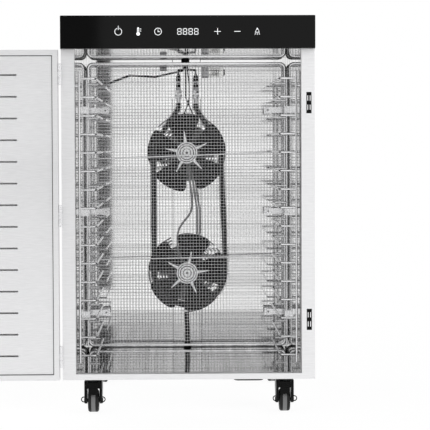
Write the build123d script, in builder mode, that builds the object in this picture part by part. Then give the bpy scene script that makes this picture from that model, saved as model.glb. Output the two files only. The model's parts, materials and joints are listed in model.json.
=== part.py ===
"""Sixteen-tier cabinet food dehydrator on four casters, in millimetres.

+Z is up and -Y is the front.  The origin is on the floor, under the centre of
the cabinet.  The door is modelled swung fully open, beside the cabinet.
"""
from build123d import *
import math
import os

# ---- Cabinet ---------------------------------------------------------------
cabinet_width = 440
cabinet_depth = 520
cabinet_height = 692        # floor to the top of the cover
ground_clearance = 60       # floor to the underside of the base
sheet = 1.2                 # outer sheet metal
liner = 1.0                 # chamber sheet metal
edge_round = 0.5            # broken edge of the outer sheets
stile_width = 23
sill_height = 10
stile_return = 20           # depth of the flange that turns into the chamber
rear_plenum = 51            # space for the motors behind the chamber

# ---- Control panel ---------------------------------------------------------
panel_height = 57
panel_depth = 20
glass_thickness = 3
housing_wall = 1.5
graphic_height = 0.2        # how far the printed graphics stand on the glass
graphic_drop = 28           # cover top to the centre of the graphics
icon_radius = 6.4
icon_line = 0.9
icon_pitch = 34.2
digit_height = 11
digit_width = 7
digit_pitch = 9.7
digit_count = 4
digit_line = 1.0
digit_gap = 0.35
touch_board = (260, 36)     # width and height
key_size = 8
power_board_x = (-70, 50)
power_board_y = (60, 150)
board_sheet = 1.6
board_standoff = 8
transformer_height = 25

# ---- Tray racks ------------------------------------------------------------
tier_count = 16
tier_pitch = 32.87
first_tier = 94             # floor to the lowest rung
post_radius = 2
post_gap = 386              # between the centre lines of the left and right posts
rack_length = 300
rack_setback = 80           # front plane to the front posts
rack_ledge = 29.3           # how far a rung reaches in from its posts
rung_radius = 2
rung_bend = 7
post_overhang = 13

# ---- Fan guard -------------------------------------------------------------
guard_setback = 430         # front plane to the wire mesh
guard_clearance = 1.5       # rim to the chamber wall
guard_headroom = 4          # ceiling to the top of the rim
guard_footroom = 3          # floor to the bottom of the rim
guard_rim_radius = 3
guard_corner = 9
mesh_pitch = 6
wire_radius = 0.4
layer_gap = 0.02            # between the upright and the level wires
stiffener_radius = 1.3
stiffeners = ((448.5, 6.5), (247.5, 3.5))   # height at the middle, half the rise
bracket_cells = (89, 56, 23)                # mesh rows that hold the rack brackets
bracket_height = 11
bracket_reach = 41
bracket_sheet = 1.5
bracket_flange = 2           # thickness along the chamber wall
clamp_size = 14              # square plate behind the mesh at each bracket
clamp_sheet = 1.5
collar_size = 7.8            # square collar of a bracket round the rear post
collar_height = 13.4
collar_gap = 0.1             # collar to the chamber wall

# ---- Fans ------------------------------------------------------------------
fan_heights = {"upper": 454, "lower": 216.5}
fan_phases = {"upper": 96.9, "lower": 78.5}  # angle of the first arm
arm_count = 5
fan_radius = 77.5
blade_angle = 56
blade_pitch = 9.5
blade_corner = 9
blade_sheet = 1.2
blade_setback = 453.3       # front plane to the middle of the blades
boss_radius = 15
spider_radius = 21
arm_root = 6.4               # width of a spider arm at the disc and at its tip
arm_tip = 1.6
arm_length = 43
shaft_radius = 4
running_gap = 0.05
motor_radius = 32
motor_length = 36

# ---- Heater ----------------------------------------------------------------
heater_setback = 439        # front plane to the centre line of the heater
fin_radius = 7
heater_left = 65.5           # centre plane to the left run of the loop
heater_right = (68, 75)      # centre plane to the right run, beside each fan
shoulder_rise = 13           # upper fan to where the runs turn inward
neck_rise = 87               # upper fan to where they turn up again
terminal_middle = 1.2
terminal_spread = 17         # terminal_middle to each end of the heater
terminal_tab = 18
terminal_radius = 7.2
terminal_height = 57
heater_top = 552
heater_bottom = 153

# ---- Channel and fittings behind the guard ---------------------------------
channel_width = 54
channel_depth = 2.5
terminal_plate_width = 76
terminal_plate_height = 69
lamp_height = 612
lamp_x = (30, 44, 77)        # bracket, mouth of the holder and tip of the bulb
lamp_bracket = (6, 12)       # thickness and height
bulb_radius = 9
thermostat_x = -45.5
thermostat_height = 623.5
thermostat_plate = (13, 15)
thermostat_radius = 5.5
thermostat_depth = 13
gland_radius = 8
lead_radius = 1.5
feed_radius = 1.2            # leads of the upper motor
motor_lead_radius = 2
motor_lead_pitch = 5.2
cable_radius = 2.2

# ---- Underside and back ----------------------------------------------------
tub_x = (78, 137)
tub_setback = (95, 155)     # front plane to the near and the far side
tub_depth = 15
inlet_middle = 145
inlet_level = 110
inlet_size = (26, 22)
inlet_depth = 18
inlet_flange = (12, 3)      # how far it reaches past the body, across and up

# ---- Door ------------------------------------------------------------------
door_thickness = 20
door_height = 574
door_gap = 1                # closed door to the front frame, and to the panel
hinge_gap = 1.3             # hinge edge of the closed door to the cabinet's side
door_sheet = 1.0
door_border = 9.5
panel_recess = 2.5
slot_count = 14
slot_pitch = 37.53
slot_top = 43.4             # door top to the highest slot
slot_start = 71             # hinge edge to the slots
slot_length = 298
slot_height = 3
slot_half = 1.4
ring_pitch = 5.6
handle_length = 180
handle_reach = 32
handle_radius = 6
handle_inset = 24

# ---- Hinges and catches ----------------------------------------------------
hinge_height = 36
hinge_levels = (592, 346, 101)
knuckle_radius = 3
pin_radius = 1.3
knuckle_gap = 0.3
leaf_sheet = 1.2
leaf_depth = 24
catch_levels = (541.5, 164)
catch_width = 9
catch_height = 37
catch_depth = 14
pole_width = 1.4
pole_height = 9
pole_pitch = (4.2, 16)       # between the poles, across and up

# ---- Casters ---------------------------------------------------------------
caster_half_track = 168
caster_front_setback = 45
caster_rear_setback = 470
wheel_radius = 20
wheel_width = 19
caster_trail = 12
fork_width = 31
fork_cheek = 4.6
caster_plate_size = 46
caster_plate_sheet = 2.5
kingpin_radius = 4
caster_axle_radius = 3
nose_reach = 31             # kingpin to the nose of the fork
pedal_width = 17
pedal_thickness = 3
pedal_height = 20

# ---- Places that follow from the sizes -------------------------------------
half_width = cabinet_width / 2
front = -cabinet_depth / 2
back = cabinet_depth / 2
chamber_half_width = half_width - stile_width
sill_top = ground_clearance + sill_height
panel_base = cabinet_height - panel_height
ceiling = panel_base
chamber_back = back - sheet - rear_plenum
wall_back = chamber_back + liner
door_base = ground_clearance
door_top = door_base + door_height
post_x = post_gap / 2
rack_front = front + rack_setback
rack_back = rack_front + rack_length
ledge_x = post_x - rack_ledge
guard_y = front + guard_setback
guard_half_width = chamber_half_width - guard_clearance
guard_low = sill_top + guard_footroom
guard_high = ceiling - guard_headroom
heater_y = front + heater_setback
blade_y = front + blade_setback
channel_front = chamber_back - channel_depth
hinge_x = -half_width - 2
hinge_y = front - 3
door_near = -half_width - 4 - hinge_gap
door_far = 2 * hinge_x - half_width
door_inner = 2 * hinge_y - front + door_gap
catch_x = half_width - 10
screw_x = (int((chamber_half_width - bracket_reach + 3) // mesh_pitch) + 0.5) * mesh_pitch
screw_radius = 1.6
screw_head_radius = 3.2
channel_screw_level = 337
gland_x = -2
gland_y = 190
inlet_x = (inlet_middle - inlet_size[0] / 2, inlet_middle + inlet_size[0] / 2)
inlet_z = (inlet_level - inlet_size[1] / 2, inlet_level + inlet_size[1] / 2)
cord_y = channel_front - 2.9
terminal_x = (terminal_middle - terminal_spread, terminal_middle + terminal_spread)
plate_front = channel_front - 1.5
lamp_y = plate_front - bulb_radius - 4


def finish(builder, label):
    """Label a finished piece and write it."""
    builder.part.label = label
    export_step(builder.part, f"parts/{label}.step")


def block(x, y, z, mode=Mode.ADD):
    """A box in the current part, from (low, high) pairs along X, Y and Z."""
    centre = [(pair[0] + pair[1]) / 2 for pair in (x, y, z)]
    size = [abs(pair[1] - pair[0]) for pair in (x, y, z)]
    with Locations(tuple(centre)):
        Box(*size, mode=mode)


def rod(start, end, radius, mode=Mode.ADD):
    """A round bar in the current part, between two points."""
    axis = Vector(*end) - Vector(*start)
    with BuildSketch(Plane(origin=start, z_dir=axis)) as section:
        Circle(radius)
    extrude(section.sketch, amount=axis.length, mode=mode)


def mirrored(side, low, high):
    """A range of X on the left (side -1) or right (side 1)."""
    return tuple(sorted((side * low, side * high)))


# ---- Outer shell -----------------------------------------------------------
def side_panel(side, label):
    top = cabinet_height - sheet
    with BuildPart() as panel:
        block(mirrored(side, half_width - sheet, half_width), (front + sheet, back), (ground_clearance, top))
    finish(panel, label)


def top_cover():
    with BuildPart() as cover:
        block((-half_width, half_width), (front, back), (cabinet_height - sheet, cabinet_height))
        fillet(cover.edges().group_by(Axis.Z)[-1], edge_round)
    finish(cover, "top_cover")


def base_plate():
    edge = half_width - sheet
    with BuildPart() as plate:
        block((-edge, edge), (front + sheet, back - sheet), (ground_clearance, ground_clearance + sheet))
    finish(plate, "base_plate")


def rear_cover():
    """Back sheet, with a field of exhaust slots behind each motor."""
    edge = half_width - sheet
    with BuildPart() as cover:
        block((-edge, edge), (back - sheet, back), (ground_clearance, cabinet_height - sheet))
        for level in fan_heights.values():
            with BuildSketch(Plane.XZ.offset(-back)):
                with Locations((0, level)):
                    with GridLocations(46, 12, 3, 9):
                        SlotOverall(36, 4)
            extrude(amount=sheet, mode=Mode.SUBTRACT)
        block(inlet_x, (back - sheet, back), inlet_z, Mode.SUBTRACT)
    finish(cover, "rear_cover")


def front_stiles():
    """Left and right uprights of the front frame, each with a flange turned inward."""
    with BuildPart() as stiles:
        for side in (-1, 1):
            block(mirrored(side, chamber_half_width, half_width), (front, front + sheet),
                  (ground_clearance, panel_base))
            block(mirrored(side, chamber_half_width, chamber_half_width + liner),
                  (front + sheet, front + stile_return), (ground_clearance + sheet, panel_base))
        for level in catch_levels:
            block((catch_x - catch_width / 2, catch_x + catch_width / 2), (front, front + sheet),
                  (level - catch_height / 2, level + catch_height / 2), Mode.SUBTRACT)
    finish(stiles, "front_stiles")


def front_sill():
    with BuildPart() as sill:
        block((-chamber_half_width, chamber_half_width), (front, front + sheet), (ground_clearance, sill_top))
        block((-chamber_half_width, chamber_half_width), (front + sheet, front + stile_return),
              (sill_top - liner, sill_top))
    finish(sill, "front_sill")


# ---- Chamber ---------------------------------------------------------------
def chamber_side_walls():
    with BuildPart() as walls:
        for side in (-1, 1):
            block(mirrored(side, chamber_half_width, chamber_half_width + liner),
                  (front + stile_return, wall_back), (sill_top - liner, panel_base))
    finish(walls, "chamber_side_walls")


def chamber_sheet(low, edge, near, hole_x, label):
    """Level sheet of the chamber, with the hole for its cable gland."""
    with BuildPart() as level_sheet:
        block((-edge, edge), (near, wall_back), (low, low + liner))
        rod((hole_x, gland_y, low), (hole_x, gland_y, low + liner), gland_radius / 2, Mode.SUBTRACT)
    finish(level_sheet, label)


def chamber_rear_wall():
    """Back of the chamber, with rings of slots round each fan shaft."""
    with BuildPart() as wall:
        block((-chamber_half_width, chamber_half_width), (chamber_back, wall_back), (sill_top, panel_base))
        for level in fan_heights.values():
            rod((0, chamber_back, level), (0, wall_back, level), shaft_radius + 2, Mode.SUBTRACT)
            with BuildSketch(Plane.XZ.offset(-wall_back)):
                with Locations((0, level)):
                    for ring in range(7):
                        middle = fan_radius - 2 - ring * ring_pitch
                        Circle(middle + slot_half)
                        Circle(middle - slot_half, mode=Mode.SUBTRACT)
                    with PolarLocations(0, 8, 22.5):
                        Rectangle(2 * fan_radius + 4, 6, align=(Align.MIN, Align.CENTER), mode=Mode.SUBTRACT)
                    Rectangle(channel_width + 4, 3 * fan_radius, mode=Mode.SUBTRACT)
            extrude(amount=liner, mode=Mode.SUBTRACT)
        rod((0, chamber_back, channel_screw_level), (0, wall_back, channel_screw_level), screw_radius,
            Mode.SUBTRACT)
    finish(wall, "chamber_rear_wall")


# ---- Control panel ---------------------------------------------------------
def control_housing():
    near = front - panel_depth + glass_thickness
    with BuildPart() as housing:
        block((-half_width, half_width), (near, front), (panel_base, cabinet_height))
        block((-half_width + housing_wall, half_width - housing_wall), (near + housing_wall, front),
              (panel_base + housing_wall, cabinet_height - housing_wall), Mode.SUBTRACT)
    finish(housing, "control_housing")


def control_glass():
    near = front - panel_depth
    with BuildPart() as glass:
        block((-half_width, half_width), (near, near + glass_thickness), (panel_base, cabinet_height))
        fillet(glass.edges().filter_by(Axis.Y), 2)
        fillet(glass.faces().sort_by(Axis.Y)[0].edges(), edge_round)
    finish(glass, "control_glass")


def seven_segments():
    """One digit with all of its segments, about the current location."""
    gap = digit_gap
    line = digit_line
    for level in (-1, 0, 1):
        with Locations((0, level * (digit_height - line) / 2)):
            Rectangle(digit_width - 2 * line - gap, line)
    for side in (-1, 1):
        for half in (-1, 1):
            with Locations((side * (digit_width - line) / 2, half * digit_height / 4)):
                Rectangle(line, digit_height / 2 - line - gap)


def panel_graphics():
    """Touch marks and clock digits, standing just proud of the glass."""
    level = cabinet_height - graphic_drop
    line = icon_line
    with BuildPart() as graphics:
        with BuildSketch(Plane.XZ.offset(-front + panel_depth)):
            with Locations((-3.5 * icon_pitch, level)):
                Circle(icon_radius)
                Circle(icon_radius - line, mode=Mode.SUBTRACT)
                with Locations((0, icon_radius)):
                    Rectangle(3.6, 2 * icon_radius, mode=Mode.SUBTRACT)
                    Rectangle(line, icon_radius * 1.1)
            with Locations((-2.5 * icon_pitch, level)):
                with Locations((0, 1.5)):
                    SlotOverall(2 * icon_radius - 1, 3.4, rotation=90)
                with Locations((0, -icon_radius + 2.6)):
                    Circle(3.1)
                with Locations((0, 2.2)):
                    SlotOverall(icon_radius, 1, rotation=90, mode=Mode.SUBTRACT)
                for tick in range(3):
                    with Locations((4.2, 0.6 + 2.2 * tick)):
                        Rectangle(2, 0.8)
            with Locations((-1.5 * icon_pitch, level)):
                Circle(icon_radius)
                Circle(icon_radius - line, mode=Mode.SUBTRACT)
                with Locations((0, 1.6)):
                    Rectangle(line, 4.4)
                with Locations((1.4, -0.2)):
                    Rectangle(4, line)
            for digit in range(digit_count):
                with Locations(((digit - (digit_count - 1) / 2) * digit_pitch, level)):
                    seven_segments()
            with Locations((1.5 * icon_pitch, level)):
                Rectangle(11, line)
                Rectangle(line, 11)
            with Locations((2.5 * icon_pitch, level)):
                Rectangle(11, line)
            with Locations((3.5 * icon_pitch, level)):
                with Locations((0, 1)):
                    Trapezoid(8, 6, 68)
                    Trapezoid(8 - 2.4 * line, 6 - 2 * line, 68, mode=Mode.SUBTRACT)
                with Locations((0, 5)):
                    Rectangle(2 * line, 2)
                for ray in (-1, 0, 1):
                    with Locations((3.4 * ray, -4.4)):
                        Rectangle(line, 2.4, rotation=35 * ray)
        extrude(amount=graphic_height)
    finish(graphics, "panel_graphics")


def circuit_boards():
    """Touch board behind the glass, and the power board above the chamber."""
    key_front = front - panel_depth + glass_thickness + housing_wall
    board_front = key_front + 1
    middle = cabinet_height - graphic_drop
    shelf = ceiling + liner
    board_base = shelf + board_standoff
    board_top = board_base + board_sheet
    with BuildPart() as boards:
        block((-touch_board[0] / 2, touch_board[0] / 2), (board_front, board_front + board_sheet),
              (middle - touch_board[1] / 2, middle + touch_board[1] / 2))
        for place in (-3.5, -2.5, -1.5, 0, 1.5, 2.5, 3.5):
            x = place * icon_pitch
            block((x - key_size / 2, x + key_size / 2), (key_front, board_front),
                  (middle - key_size / 2, middle + key_size / 2))
        block(power_board_x, power_board_y, (board_base, board_top))
        for x in (power_board_x[0] + 6, power_board_x[1] - 6):
            for y in (power_board_y[0] + 6, power_board_y[1] - 6):
                rod((x, y, shelf), (x, y, board_base), 3)
        block((-50, -20), (80, 110), (board_top, board_top + transformer_height))
        block((0, 30), (75, 130), (board_top, board_top + transformer_height - 5))
    finish(boards, "circuit_boards")


# ---- Tray racks ------------------------------------------------------------
def rack(side, label):
    """Two posts, sixteen bent rungs and the studs that stand the rack off the wall."""
    low = first_tier - post_overhang
    high = first_tier + (tier_count - 1) * tier_pitch + post_overhang
    with BuildPart() as frame:
        for y in (rack_front, rack_back):
            rod((side * post_x, y, low), (side * post_x, y, high), post_radius)
        for level in (low + 2 * post_overhang, high - 2 * post_overhang):
            rod((side * (post_x + post_radius), rack_front, level),
                (side * chamber_half_width, rack_front, level), 2.5)
    solids = list(frame.part.solids())
    outer = side * (post_x - post_radius)
    for tier in range(tier_count):
        level = first_tier + tier * tier_pitch
        with BuildPart() as rung:
            with BuildLine():
                FilletPolyline((outer, rack_front, level), (side * ledge_x, rack_front, level),
                               (side * ledge_x, rack_back, level), (outer, rack_back, level),
                               radius=rung_bend)
            with BuildSketch(Plane(origin=(outer, rack_front, level), z_dir=(-side, 0, 0))):
                Circle(rung_radius)
            sweep()
        solids.append(rung.part.solid())
    whole = Compound(children=solids)
    whole.label = label
    export_step(whole, f"parts/{label}.step")


# ---- Fan guard -------------------------------------------------------------
def guard_frame():
    """Rounded rim of the rear guard, with its two slightly tilted stiffeners."""
    middle = (guard_low + guard_high) / 2
    width = 2 * (guard_half_width - guard_rim_radius)
    height = guard_high - guard_low - 2 * guard_rim_radius
    with BuildPart() as frame:
        with BuildSketch(Plane.XZ.offset(-guard_y), mode=Mode.PRIVATE) as outline:
            with Locations((0, middle)):
                RectangleRounded(width, height, guard_corner)
        rim = outline.sketch.face().outer_wire()
        with BuildSketch(Plane(origin=rim @ 0, z_dir=rim % 0)):
            Circle(guard_rim_radius)
        sweep(path=rim)
        for level, rise in stiffeners:
            rod((-width / 2, guard_y - 2, level - rise), (width / 2, guard_y - 2, level + rise),
                stiffener_radius)
    finish(frame, "guard_frame")


def corner_cut(distance):
    """How much a wire is shortened where the rim's rounded corner bends across it."""
    inner = guard_corner - guard_rim_radius
    depth = inner - (distance - 2 * wire_radius)
    if depth <= 0:
        return 0
    return inner - math.sqrt(max(inner ** 2 - depth ** 2, 0))


def guard_wires():
    """Square mesh of straight wires, one layer upright and one level."""
    reach_x = guard_half_width - 2 * guard_rim_radius
    low = guard_low + 2 * guard_rim_radius
    high = guard_high - 2 * guard_rim_radius
    wires = []
    columns = int(reach_x // mesh_pitch)
    for column in range(-columns, columns + 1):
        x = column * mesh_pitch
        cut = corner_cut(reach_x - abs(x))
        wires.append(wire((x, guard_y, low + cut), (0, 0, 1), high - low - 2 * cut))
    layer = guard_y + 2 * wire_radius + layer_gap
    for row in range(math.ceil(low / mesh_pitch), int(high // mesh_pitch) + 1):
        z = row * mesh_pitch
        cut = corner_cut(min(z - low, high - z))
        wires.append(wire((cut - reach_x, layer, z), (1, 0, 0), 2 * (reach_x - cut)))
    mesh = Compound(children=wires)
    mesh.label = "guard_wires"
    export_step(mesh, "parts/guard_wires.step")


def wire(start, direction, length):
    """One straight mesh wire as its own solid."""
    with BuildPart() as strand:
        with BuildSketch(Plane(origin=start, z_dir=direction)):
            Circle(wire_radius)
        extrude(amount=length)
    return strand.part.solid()


def bracket_levels():
    """Heights of the rack brackets, each at the middle of a mesh cell."""
    return [(row + 0.5) * mesh_pitch for row in bracket_cells]


def rack_brackets():
    """Angle brackets on the chamber walls, from the rear posts to the face of the guard."""
    plate_back = guard_y - guard_rim_radius - 0.1
    with BuildPart() as brackets:
        for side in (-1, 1):
            for level in bracket_levels():
                z = (level - bracket_height / 2, level + bracket_height / 2)
                block(mirrored(side, chamber_half_width - bracket_flange, chamber_half_width),
                      (rack_back - 8, plate_back), z)
                block(mirrored(side, chamber_half_width - bracket_reach, chamber_half_width),
                      (plate_back - bracket_sheet, plate_back), z)
                block(mirrored(side, post_x - collar_size / 2, chamber_half_width - collar_gap),
                      (rack_back - collar_size / 2, rack_back + collar_size / 2),
                      (level - collar_height / 2, level + collar_height / 2))
                rod((side * post_x, rack_back, level - collar_height),
                    (side * post_x, rack_back, level + collar_height), post_radius, Mode.SUBTRACT)
                x = side * screw_x
                rod((x, plate_back - bracket_sheet, level), (x, plate_back, level), screw_radius,
                    Mode.SUBTRACT)
    finish(brackets, "rack_brackets")


def guard_clamps():
    """Square plates behind the mesh that take the bracket screws."""
    near = guard_y + 3 * wire_radius + 0.1
    with BuildPart() as clamps:
        for side in (-1, 1):
            x = (side * screw_x - clamp_size / 2, side * screw_x + clamp_size / 2)
            for level in bracket_levels():
                block(x, (near, near + clamp_sheet), (level - clamp_size / 2, level + clamp_size / 2))
                rod((side * screw_x, near, level), (side * screw_x, near + clamp_sheet, level), screw_radius,
                    Mode.SUBTRACT)
    finish(clamps, "guard_clamps")


def chamber_screws():
    """Bracket screws, and the screw at the middle of the channel."""
    bracket_front = guard_y - guard_rim_radius - 0.1 - bracket_sheet
    with BuildPart() as screws:
        for side in (-1, 1):
            for level in bracket_levels():
                pan_screw((side * screw_x, bracket_front, level),
                          guard_y + 3 * wire_radius + 0.1 + clamp_sheet - bracket_front)
        pan_screw((0, channel_front, channel_screw_level), wall_back - channel_front)
    finish(screws, "chamber_screws")


def pan_screw(place, length):
    """A pan head screw that points to the back."""
    x, y, z = place
    rod((x, y - 2, z), (x, y, z), screw_head_radius)
    rod((x, y, z), (x, y + length, z), screw_radius)


# ---- Fans ------------------------------------------------------------------
def fan_motors():
    """Two motors behind the rear wall, each with its mounting flange."""
    with BuildPart() as motors:
        for level in fan_heights.values():
            rod((0, wall_back, level), (0, wall_back + 3, level), motor_radius + 6)
            rod((0, wall_back + 3, level), (0, wall_back + motor_length, level), motor_radius)
            rod((0, wall_back, level), (0, wall_back + motor_length, level),
                shaft_radius + running_gap, Mode.SUBTRACT)
    finish(motors, "fan_motors")


def fan_shaft(name):
    """Motor shaft, with the nut that holds the fan on."""
    level = fan_heights[name]
    near = blade_y - 10.4
    with BuildPart() as shaft:
        rod((0, near, level), (0, wall_back + motor_length, level), shaft_radius)
        with BuildSketch(Plane.XZ.offset(-near)):
            with Locations((0, level)):
                RegularPolygon(6.5, 6)
        extrude(amount=3)
    finish(shaft, f"{name}_fan_shaft")


def blade_plane(level, angle, pitch):
    """Plane of one blade: its X axis runs out along the arm, and it leans by the pitch."""
    radial = (math.cos(angle), 0, math.sin(angle))
    normal = (-math.sin(angle) * math.sin(pitch), -math.cos(pitch), math.cos(angle) * math.sin(pitch))
    return Plane(origin=(0, blade_y, level), x_dir=radial, z_dir=normal)


def fan_blades(name):
    """Moulded boss with five wide, slightly pitched blades."""
    level = fan_heights[name]
    half = math.radians(blade_angle / 2)
    with BuildPart() as wheel:
        rod((0, blade_y - 5, level), (0, blade_y + 6, level), boss_radius)
        for arm in range(arm_count):
            angle = fan_phases[name] + arm * 360 / arm_count
            with BuildSketch(blade_plane(level, math.radians(angle), math.radians(blade_pitch))):
                with BuildLine():
                    inner = boss_radius - 3
                    tip = CenterArc((0, 0), fan_radius, -blade_angle / 2, blade_angle)
                    low = Line((inner, -inner * math.tan(half)), tip @ 0)
                    high = Line(tip @ 1, (inner, inner * math.tan(half)))
                    Line(high @ 1, low @ 0)
                make_face()
                fillet(vertices().group_by(Axis.X)[-1], blade_corner)
            extrude(amount=blade_sheet / 2, both=True)
        rod((0, blade_y - 5, level), (0, blade_y + 6, level), shaft_radius, Mode.SUBTRACT)
    finish(wheel, f"{name}_fan_blades")


def fan_spider(name):
    """Bright pressed disc with five tapered arms and a ringed cap."""
    level = fan_heights[name]
    near = blade_y - 9
    with BuildPart() as spider:
        with BuildSketch(Plane.XZ.offset(-near)):
            with Locations((0, level)):
                Circle(spider_radius)
                with PolarLocations(0, arm_count, fan_phases[name]):
                    Polygon((spider_radius - 4, -arm_root / 2), (arm_length, -arm_tip / 2),
                            (arm_length, arm_tip / 2), (spider_radius - 4, arm_root / 2), align=None)
        extrude(amount=-1.6)
        rod((0, near - 1.4, level), (0, near, level), spider_radius - 4)
        rod((0, near - 1.4, level), (0, near - 0.6, level), spider_radius - 6.5, Mode.SUBTRACT)
        rod((0, blade_y - 7.4, level), (0, blade_y - 5, level), boss_radius - 2)
        rod((0, near - 2, level), (0, blade_y - 5, level), shaft_radius, Mode.SUBTRACT)
    finish(spider, f"{name}_fan_spider")


# ---- Heater ----------------------------------------------------------------
def heater_tube():
    """Outer shape of the finned tube: one loop that passes in front of both fans."""
    upper = fan_heights["upper"]
    beside = fan_heights["lower"] + 45
    left, right = terminal_x
    route = [
        (left, heater_top),
        (left, upper + neck_rise),
        (-heater_left, upper + shoulder_rise),
        (-heater_left, heater_bottom),
        (heater_right[1], heater_bottom),
        (heater_right[1], beside),
        (heater_right[0], upper - shoulder_rise),
        (heater_right[0], upper + shoulder_rise),
        (right, upper + neck_rise),
        (right, heater_top),
    ]
    points = [(x, heater_y, z) for x, z in route]
    low_bend = (heater_left + heater_right[1]) / 2 - 3
    with BuildPart() as tube:
        with BuildLine():
            FilletPolyline(*points, radius=[18, 48, low_bend, low_bend, 200, 200, 48, 18])
        with BuildSketch(Plane(origin=points[0], z_dir=(0, 0, -1))):
            Circle(fin_radius)
        sweep()
    finish(tube, "heater_tube")


def heater_terminals():
    """Sheath end, nuts, insulator and boot on each end of the heater."""
    profile = [(4, 0), (4, 9), (6.6, 9), (6.6, 16), (terminal_radius, 16), (terminal_radius, 19),
               (5.4, 19), (5.4, 38), (6.8, 38), (6.8, 50), (3.5, terminal_height)]
    with BuildPart() as terminals:
        for middle in terminal_x:
            with BuildSketch(Plane(origin=(middle, heater_y, heater_top), x_dir=(1, 0, 0), z_dir=(0, -1, 0))):
                with BuildLine():
                    Polyline((0, 0), *profile, (0, profile[-1][1]), close=True)
                make_face()
            revolve(axis=Axis((middle, heater_y, heater_top), (0, 0, 1)))
    finish(terminals, "heater_terminals")


# ---- Channel and fittings --------------------------------------------------
def mounting_channel():
    """Upright channel that the fans stand on, with the welded terminal plate."""
    half = channel_width / 2
    plate_low = ceiling - 5 - terminal_plate_height
    with BuildPart() as channel:
        block((-half, half), (channel_front, channel_front + liner), (sill_top, panel_base))
        for side in (-1, 1):
            block(mirrored(side, half - liner, half), (channel_front, chamber_back), (sill_top, panel_base))
        block((-terminal_plate_width / 2, terminal_plate_width / 2), (plate_front, channel_front),
              (plate_low, plate_low + terminal_plate_height))
        for x in terminal_x:
            block((x - terminal_tab / 2, x + terminal_tab / 2), (heater_y - terminal_radius, plate_front),
                  (heater_top + 16.5, heater_top + 18.5))
            rod((x, heater_y, heater_top + 16.5), (x, heater_y, heater_top + 18.5),
                terminal_radius + 0.1, Mode.SUBTRACT)
        for level in fan_heights.values():
            rod((0, channel_front, level), (0, channel_front + liner, level), shaft_radius + 2, Mode.SUBTRACT)
        rod((0, channel_front, channel_screw_level), (0, channel_front + liner, channel_screw_level),
            screw_radius, Mode.SUBTRACT)
    finish(channel, "mounting_channel")


def lamp_holder():
    foot, height = lamp_bracket
    with BuildPart() as holder:
        rod((lamp_x[0], lamp_y, lamp_height), (lamp_x[1], lamp_y, lamp_height), bulb_radius + 1)
        block((lamp_x[0], lamp_x[0] + foot), (lamp_y, plate_front),
              (lamp_height - height / 2, lamp_height + height / 2))
    finish(holder, "lamp_holder")


def lamp_bulb():
    with BuildPart() as bulb:
        rod((lamp_x[1], lamp_y, lamp_height), (lamp_x[2], lamp_y, lamp_height), bulb_radius)
        fillet(bulb.faces().sort_by(Axis.X)[-1].edges(), bulb_radius - 1)
    finish(bulb, "lamp_bulb")


def limit_thermostat():
    width, height = thermostat_plate
    near = chamber_back - 2
    with BuildPart() as thermostat:
        block((thermostat_x - width / 2, thermostat_x + width / 2), (near, chamber_back),
              (thermostat_height - height / 2, thermostat_height + height / 2))
        rod((thermostat_x, chamber_back - thermostat_depth, thermostat_height),
            (thermostat_x, near, thermostat_height), thermostat_radius)
    finish(thermostat, "limit_thermostat")


def cable_glands():
    """Glands through the chamber's ceiling and floor, each with a nut and a throat."""
    with BuildPart() as glands:
        for x, base, way in ((gland_x, ceiling, -1), (0, sill_top, 1)):
            rod((x, gland_y, base), (x, gland_y, base + way * 4), gland_radius)
            rod((x, gland_y, base), (x, gland_y, base + way * 10), gland_radius - 2)
            rod((x, gland_y, base), (x, gland_y, base - way * 8), gland_radius / 2)
    finish(glands, "cable_glands")


def lead(points, radius, bend):
    """One insulated lead as its own solid, along straight runs and tangent bends."""
    with BuildPart() as tube:
        with BuildLine() as path:
            FilletPolyline(*points, radius=bend)
        with BuildSketch(Plane(origin=path.wires()[0] @ 0, z_dir=path.wires()[0] % 0)):
            Circle(radius)
        sweep()
    return tube.part.solid()


def save_leads(leads, label):
    bundle = Compound(children=leads)
    bundle.label = label
    export_step(bundle, f"parts/{label}.step")


def supply_leads():
    """Black leads from the upper gland, and the pair that rises from the floor."""
    mouth = ceiling - 10
    boot = heater_top + terminal_height
    rear = gland_y + 2.5
    end = fan_heights["upper"] + 22
    leads = []
    for side, x in zip((-1, 1), terminal_x):
        start = gland_x + side * 2.4
        leads.append(lead([(start, gland_y - 1, mouth), (start, gland_y - 1, mouth - 6),
                           (x, heater_y, mouth - 8), (x, heater_y, boot)], lead_radius, 2.4))
    start = gland_x - 4
    leads.append(lead([(start, rear, mouth), (start, rear, mouth - 9), (-62, gland_y + 3, 604),
                       (-112, gland_y + 2, 607), (-152, gland_y, 592)], lead_radius, 5))
    y = cord_y - 1
    leads.append(lead([(gland_x, rear + 1.5, mouth), (gland_x, rear + 1.5, mouth - 7), (-1.5, y, 590),
                       (-1.5, y, 563), (14.5, y, 525), (8, y, end)], feed_radius, 5))
    y = cord_y + 1.6
    start = gland_x + 4
    leads.append(lead([(start, rear, mouth), (start, rear, mouth - 7), (5.5, y - 3.2, 590),
                       (5.5, y - 3.2, 563), (3.9, y, 553), (-7, y, 525), (-6, y, end)], feed_radius, 5))
    for side in (-1, 1):
        x = side * 2.3
        leads.append(lead([(x, gland_y, sill_top + 10), (x, gland_y, 104), (x - 1, cord_y, 130),
                           (x, cord_y, 172)], cable_radius, 14))
    save_leads(leads, "supply_leads")


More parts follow.
